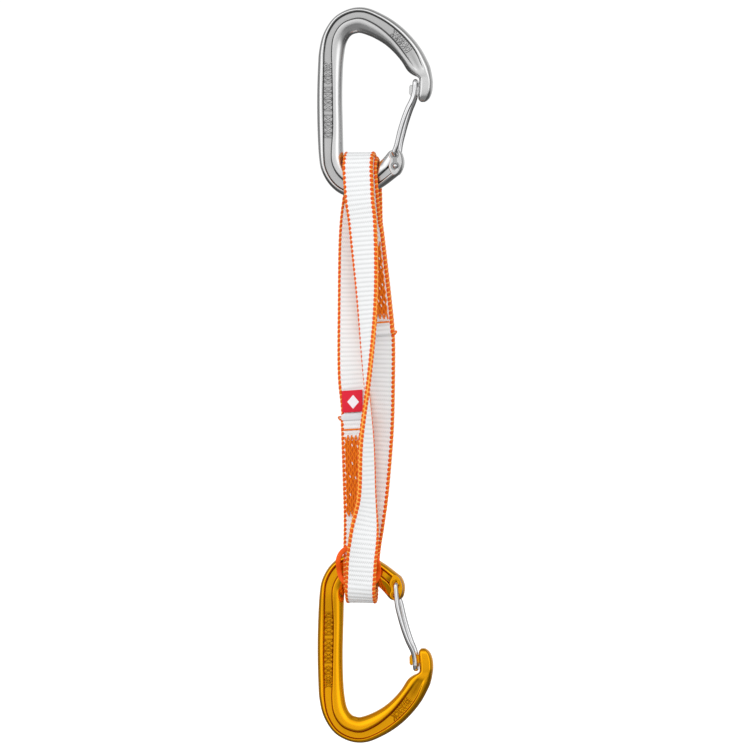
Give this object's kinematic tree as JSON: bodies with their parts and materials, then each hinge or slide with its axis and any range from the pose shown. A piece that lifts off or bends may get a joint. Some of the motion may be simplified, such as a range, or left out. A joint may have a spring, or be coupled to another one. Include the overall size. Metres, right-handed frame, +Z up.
{
  "type": "climbing quickdraw",
  "caption": "Climbing quickdraw: wiregate carabiners at both ends of a sewn webbing sling folded in runs, with a rubber keeper on the lower eye.",
  "frame": {"origin": "top of the upper carabiner's inner edge, where a bolt hanger bears", "axes": "+Z up along the hanging draw, +X towards the gates, -Y the front"},
  "size_m": [0.0594, 0.0282, 0.3692],
  "materials": {
    "bare_aluminium": "bright satin, forged and tumbled",
    "gold_anodised": "gold-orange anodised, satin",
    "gate_steel": "bright drawn stainless wire",
    "white_webbing": "ribbed woven webbing with orange edges",
    "orange_thread": "dense zigzag sewing thread",
    "red_label": "woven label",
    "orange_rubber": "smooth moulded rubber"
  },
  "bodies": {
    "upper_carabiner": {"upper_carabiner_body": "bare_aluminium", "upper_gate_wire_heel": "gate_steel"},
    "upper_gate": {"upper_gate_wire": "gate_steel"},
    "sling_upper": {"strap_upper_loop": "white_webbing", "strap_upper_eye": "white_webbing", "upper_bar_tack_front": "orange_thread", "upper_bar_tack_back": "orange_thread", "upper_end_stitch": "orange_thread"},
    "sling_lower": {"strap_lower_loop": "white_webbing", "strap_lower_eye": "white_webbing", "lower_bar_tack_front": "orange_thread", "lower_bar_tack_back": "orange_thread", "lower_end_stitch": "orange_thread", "label": "red_label", "keeper_ring": "orange_rubber"},
    "lower_carabiner": {"lower_carabiner_body": "gold_anodised", "lower_gate_wire_heel": "gate_steel"},
    "lower_gate": {"lower_gate_wire": "gate_steel"}
  },
  "joints": [
    {"name": "upper_gate_hinge", "type": "hinge", "parent": "upper_carabiner", "child": "upper_gate", "pos_m": [0.0193, 0, -0.0613], "axis": [0, -1, 0], "range_deg": [0, 45], "stiffness_Nm_per_rad": 0.25, "springref_deg": -22.92},
    {"name": "upper_sling_swing", "type": "hinge", "parent": "upper_carabiner", "child": "sling_upper", "pos_m": [0.00195, 0, -0.0598], "axis": [0, 1, 0], "range_deg": [-12, 12]},
    {"name": "sling_bend", "type": "hinge", "parent": "sling_upper", "child": "sling_lower", "pos_m": [0, 0, -0.172], "axis": [1, 0, 0], "range_deg": [-40, 40]},
    {"name": "lower_carabiner_swing", "type": "hinge", "parent": "sling_lower", "child": "lower_carabiner", "pos_m": [0.00275, 0, -0.2836], "axis": [0, 1, 0], "range_deg": [-12, 12]},
    {"name": "lower_gate_hinge", "type": "hinge", "parent": "lower_carabiner", "child": "lower_gate", "pos_m": [0.0201, 0, -0.2821], "axis": [0, 1, 0], "range_deg": [0, 45], "stiffness_Nm_per_rad": 0.25, "springref_deg": -22.92}
  ]
}
